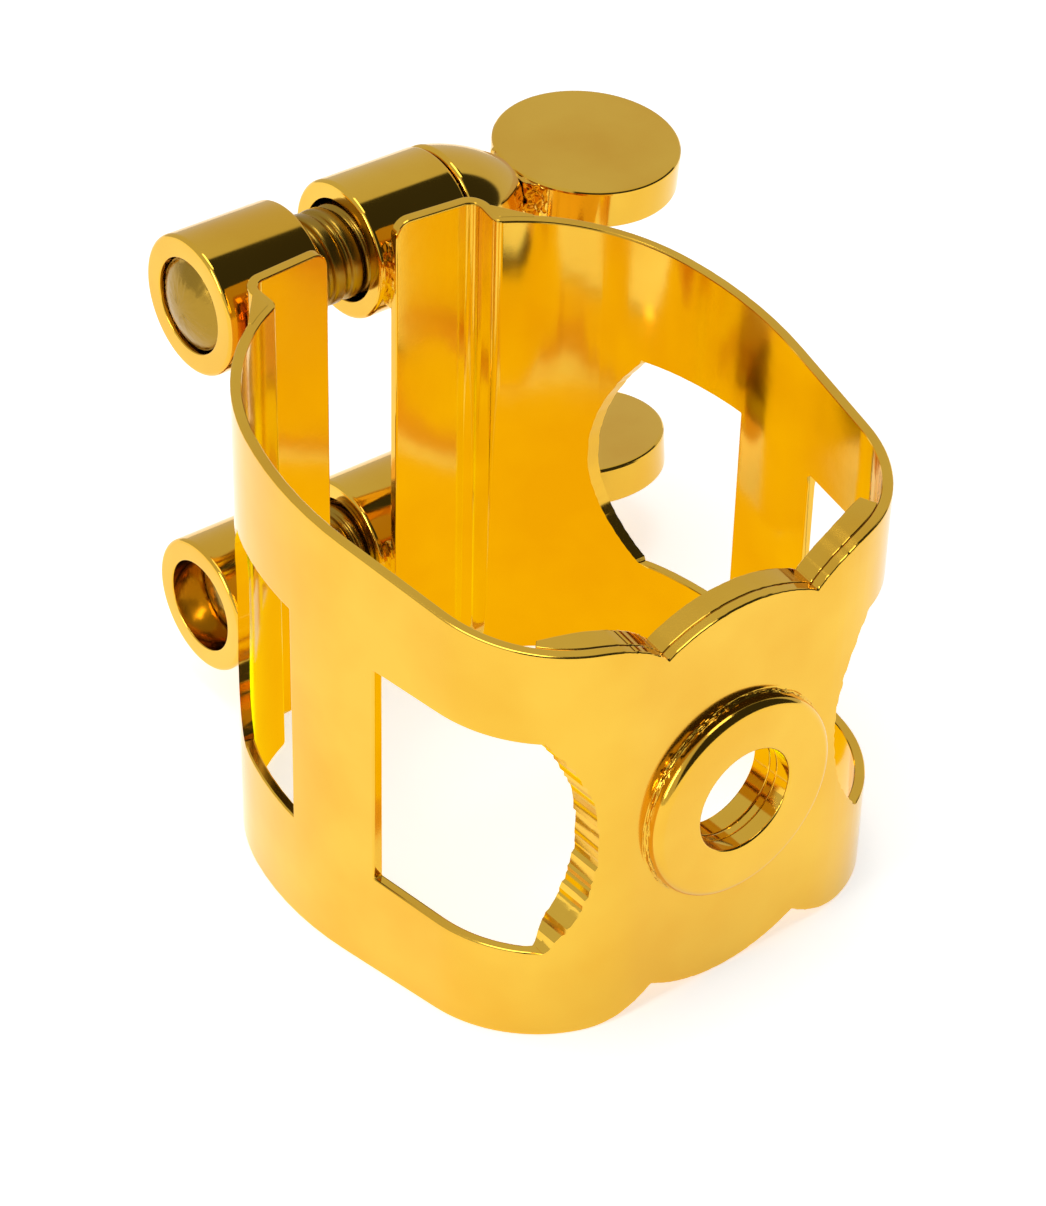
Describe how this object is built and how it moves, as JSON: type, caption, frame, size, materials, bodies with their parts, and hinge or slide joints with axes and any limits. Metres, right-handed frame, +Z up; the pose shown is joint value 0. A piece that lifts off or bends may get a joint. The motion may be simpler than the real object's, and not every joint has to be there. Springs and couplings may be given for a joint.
{
  "type": "saxophone ligature",
  "caption": "Two-screw saxophone ligature: a bent gold-plated band with D windows, a ringed front plate, reed rails, screw barrels and disc-headed thumb screws.",
  "frame": {"origin": "on the mouthpiece axis, in the plane of the lower rim that the ligature stands on", "axes": "+Z up along the mouthpiece axis, -Y out through the ringed front plate, +X towards the thumb-screw heads"},
  "size_m": [0.0337, 0.0359, 0.025],
  "materials": {
    "gold_sheet": "brass sheet, mirror polished and gold plated",
    "gold_turned": "turned brass, polished and gold plated",
    "gold_solder": "solder bead under gold plate, slightly uneven"
  },
  "bodies": {
    "band_body": {"band": "gold_sheet", "inner_plate": "gold_sheet", "ring_boss": "gold_sheet", "left_crease_solder": "gold_solder", "right_crease_solder": "gold_solder", "upper_left_barrel": "gold_turned", "upper_right_barrel": "gold_turned", "lower_left_barrel": "gold_turned", "lower_right_barrel": "gold_turned", "upper_left_seam": "gold_solder", "upper_right_seam": "gold_solder", "lower_left_seam": "gold_solder", "lower_right_seam": "gold_solder"},
    "upper_collar_body": {"upper_collar": "gold_turned"},
    "upper_screw_body": {"upper_screw": "gold_turned", "upper_head": "gold_turned", "upper_head_solder": "gold_solder"},
    "lower_collar_body": {"lower_collar": "gold_turned"},
    "lower_screw_body": {"lower_screw": "gold_turned", "lower_head": "gold_turned", "lower_head_solder": "gold_solder"}
  },
  "joints": [
    {"name": "upper_screw_travel", "type": "slide", "parent": "band_body", "child": "upper_collar_body", "axis": [1, 0, 0], "range_m": [0, 0.005]},
    {"name": "upper_screw_turn", "type": "hinge", "parent": "upper_collar_body", "child": "upper_screw_body", "pos_m": [0.0069, 0.01804, 0.02165], "axis": [1, 0, 0], "range_deg": [0, 1801]},
    {"name": "lower_screw_travel", "type": "slide", "parent": "band_body", "child": "lower_collar_body", "axis": [1, 0, 0], "range_m": [0, 0.005]},
    {"name": "lower_screw_turn", "type": "hinge", "parent": "lower_collar_body", "child": "lower_screw_body", "pos_m": [0.0069, 0.01804, 0.00496], "axis": [1, 0, 0], "range_deg": [0, 1801]}
  ],
  "couplings": [
    {"joint": "upper_screw_turn", "follows": "upper_screw_travel", "rad_per_m": 6283.2},
    {"joint": "lower_screw_turn", "follows": "lower_screw_travel", "rad_per_m": 6283.2}
  ]
}
